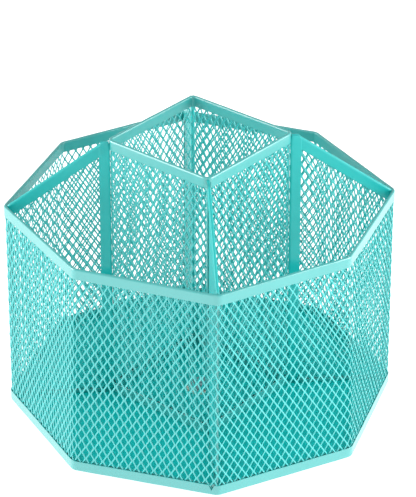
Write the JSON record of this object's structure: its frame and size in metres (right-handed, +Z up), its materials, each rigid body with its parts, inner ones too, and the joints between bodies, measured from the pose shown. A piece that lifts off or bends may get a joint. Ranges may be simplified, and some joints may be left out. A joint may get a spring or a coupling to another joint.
{
  "type": "lazy susan organizer",
  "caption": "Octagonal expanded-steel mesh desk organizer with a taller square centre box and sloping dividers, turning on a ball-bearing swivel base.",
  "frame": {"origin": "on the table, in the middle of the footprint, on the spin axis", "axes": "+Z up along the spin axis; +X and +Y through the free corners of the octagon and square to the faces of the centre box"},
  "size_m": [0.1892, 0.1892, 0.1525],
  "materials": {
    "strip_steel": "satin",
    "mesh_steel": "satin",
    "plate_steel": "satin",
    "base_steel": "satin",
    "zinc_steel": "satin",
    "rivet_aluminium": "satin",
    "ball_steel": "polished",
    "nylon": "satin",
    "foot_rubber": "matte"
  },
  "bodies": {
    "base": {"base_plate": "base_steel", "lower_race": "zinc_steel", "lower_rivets": "rivet_aluminium", "pivot_pin": "zinc_steel", "retaining_clip": "zinc_steel", "foot_1": "foot_rubber", "foot_2": "foot_rubber", "foot_3": "foot_rubber", "foot_4": "foot_rubber"},
    "basket": {"outer_wall_mesh": "mesh_steel", "upper_rim": "strip_steel", "bottom_rim": "strip_steel", "box_mesh": "mesh_steel", "box_top_rim": "strip_steel", "box_bottom_rim": "strip_steel", "floor_plate": "plate_steel", "divider_mesh_front_right": "mesh_steel", "divider_upright_front_right": "strip_steel", "divider_top_front_right": "strip_steel", "divider_edge_front_right": "strip_steel", "divider_mesh_back_right": "mesh_steel", "divider_upright_back_right": "strip_steel", "divider_top_back_right": "strip_steel", "divider_edge_back_right": "strip_steel", "divider_mesh_back_left": "mesh_steel", "divider_upright_back_left": "strip_steel", "divider_top_back_left": "strip_steel", "divider_edge_back_left": "strip_steel", "divider_mesh_front_left": "mesh_steel", "divider_upright_front_left": "strip_steel", "divider_top_front_left": "strip_steel", "divider_edge_front_left": "strip_steel", "upper_race": "zinc_steel", "upper_rivets": "rivet_aluminium", "pivot_bush": "nylon"},
    "ball_ring": {"ball_cage": "nylon", "balls": "ball_steel"}
  },
  "joints": [
    {"name": "basket_spin", "type": "hinge", "parent": "base", "child": "basket", "pos_m": [0, 0, 0.0071], "axis": [0, 0, 1], "continuous": true},
    {"name": "cage_spin", "type": "hinge", "parent": "base", "child": "ball_ring", "pos_m": [0, 0, 0.0071], "axis": [0, 0, 1], "continuous": true}
  ],
  "couplings": [
    {"joint": "cage_spin", "follows": "basket_spin", "ratio": 0.5}
  ]
}
